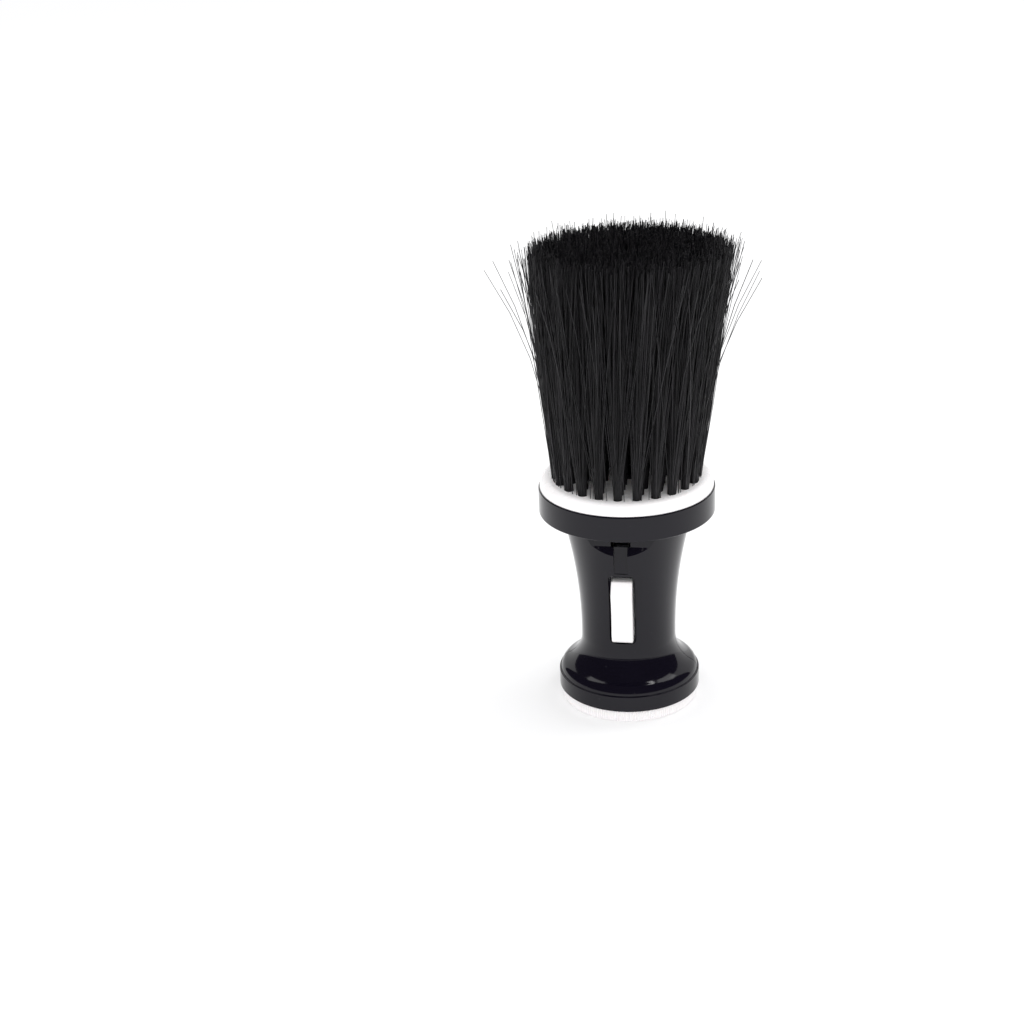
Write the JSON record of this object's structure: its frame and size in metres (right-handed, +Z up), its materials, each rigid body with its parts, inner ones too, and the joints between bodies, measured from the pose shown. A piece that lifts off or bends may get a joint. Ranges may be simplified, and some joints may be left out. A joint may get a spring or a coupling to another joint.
{
  "type": "neck duster brush",
  "caption": "Barber's neck duster brush with round bristle head and a hollow handle that doses powder by a thumb slider and refills through a screw cap.",
  "frame": {"origin": "middle of the flat underside of the screw cap, where the brush stands", "axes": "+Z up along the brush towards the bristle tips, -Y towards the thumb slider, +X to the right of someone who faces the slider"},
  "size_m": [0.0882, 0.0882, 0.1688],
  "materials": {
    "black_abs": "gloss",
    "white_plastic": "satin",
    "black_nylon": "satin",
    "natural_plastic": "satin",
    "steel": "satin",
    "rubber": "matte"
  },
  "bodies": {
    "handle": {"front_shell": "black_abs", "rear_shell": "black_abs", "collar_ring": "black_abs", "bristle_disc": "white_plastic", "outer_tufts": "black_nylon", "middle_tufts": "black_nylon", "inner_tufts": "black_nylon", "core_tufts": "black_nylon", "flyaway_bristles": "black_nylon", "tuft_anchors": "steel", "mouth_ring": "natural_plastic", "powder_chamber": "natural_plastic", "valve_seat": "white_plastic", "outlet_nozzle": "black_abs", "sieve": "white_plastic", "return_spring": "steel"},
    "slider": {"thumb_slider": "white_plastic", "slider_rivets": "steel", "slide_bar": "steel", "valve_stem": "white_plastic", "valve_seal": "rubber", "stem_clip": "steel"},
    "cap_seal": {"cap_gasket": "rubber"},
    "screw_cap": {"screw_cap": "white_plastic"}
  },
  "joints": [
    {"name": "slider_travel", "type": "slide", "parent": "handle", "child": "slider", "axis": [0, 0, 1], "range_m": [0, 0.0018], "stiffness_N_per_m": 600, "springref_m": -0.0015, "deforming": ["return_spring"]},
    {"name": "cap_lift", "type": "slide", "parent": "handle", "child": "cap_seal", "axis": [0, 0, -1], "range_m": [0, 0.006]},
    {"name": "cap_turn", "type": "hinge", "parent": "cap_seal", "child": "screw_cap", "pos_m": [0, 0, 0], "axis": [0, 0, -1], "range_deg": [0, 720]}
  ],
  "couplings": [
    {"joint": "cap_turn", "follows": "cap_lift", "rad_per_m": 2094.4}
  ]
}
